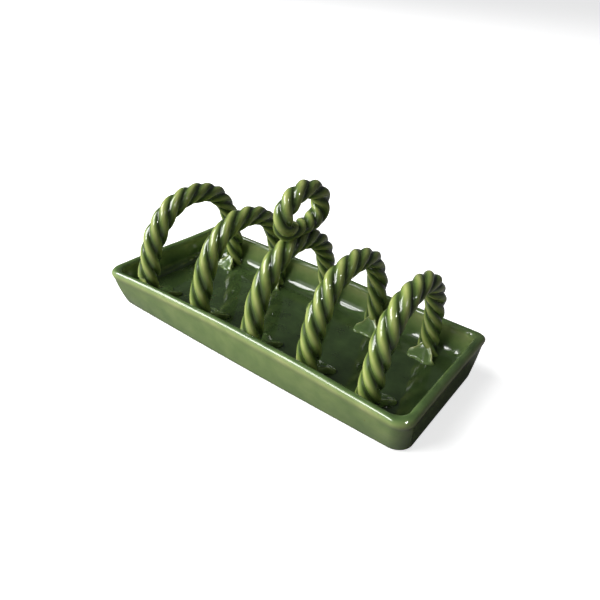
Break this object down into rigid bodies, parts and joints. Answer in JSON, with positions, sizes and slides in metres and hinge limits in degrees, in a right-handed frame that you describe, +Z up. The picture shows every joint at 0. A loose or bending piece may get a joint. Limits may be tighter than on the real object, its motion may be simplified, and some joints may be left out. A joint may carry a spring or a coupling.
{
  "type": "toast rack",
  "caption": "Glazed ceramic toast rack: a shallow flared tray crossed by rows of twisted rope arches, with a rope ring handle on the middle arch.",
  "frame": {"origin": "centre of the base, on the surface that the rack stands on", "axes": "+X along the tray, +Y across it towards the straight-rimmed long wall, +Z up"},
  "size_m": [0.21, 0.099, 0.0999],
  "materials": {
    "tray_glaze": "glossy green glaze, lighter where it runs thin on edges",
    "rope_glaze": "glossy green glaze, yellow-green on the ridges and dark in the valleys",
    "tongue_glaze": "glossy green glaze with thin bright edges"
  },
  "bodies": {
    "root": {"tray": "tray_glaze", "arch_1_strand_1": "rope_glaze", "arch_1_strand_2": "rope_glaze", "arch_1_strand_3": "rope_glaze", "arch_1_strand_4": "rope_glaze", "arch_1_front_tongue": "tongue_glaze", "arch_1_rear_tongue": "tongue_glaze", "arch_2_strand_1": "rope_glaze", "arch_2_strand_2": "rope_glaze", "arch_2_strand_3": "rope_glaze", "arch_2_strand_4": "rope_glaze", "arch_2_front_tongue": "tongue_glaze", "arch_2_rear_tongue": "tongue_glaze", "arch_3_strand_1": "rope_glaze", "arch_3_strand_2": "rope_glaze", "arch_3_strand_3": "rope_glaze", "arch_3_strand_4": "rope_glaze", "arch_3_front_tongue": "tongue_glaze", "arch_3_rear_tongue": "tongue_glaze", "arch_4_strand_1": "rope_glaze", "arch_4_strand_2": "rope_glaze", "arch_4_strand_3": "rope_glaze", "arch_4_strand_4": "rope_glaze", "arch_4_front_tongue": "tongue_glaze", "arch_4_rear_tongue": "tongue_glaze", "arch_5_strand_1": "rope_glaze", "arch_5_strand_2": "rope_glaze", "arch_5_strand_3": "rope_glaze", "arch_5_strand_4": "rope_glaze", "arch_5_front_tongue": "tongue_glaze", "arch_5_rear_tongue": "tongue_glaze", "ring_strand_1": "rope_glaze", "ring_strand_2": "rope_glaze", "ring_strand_3": "rope_glaze"}
  },
  "joints": []
}
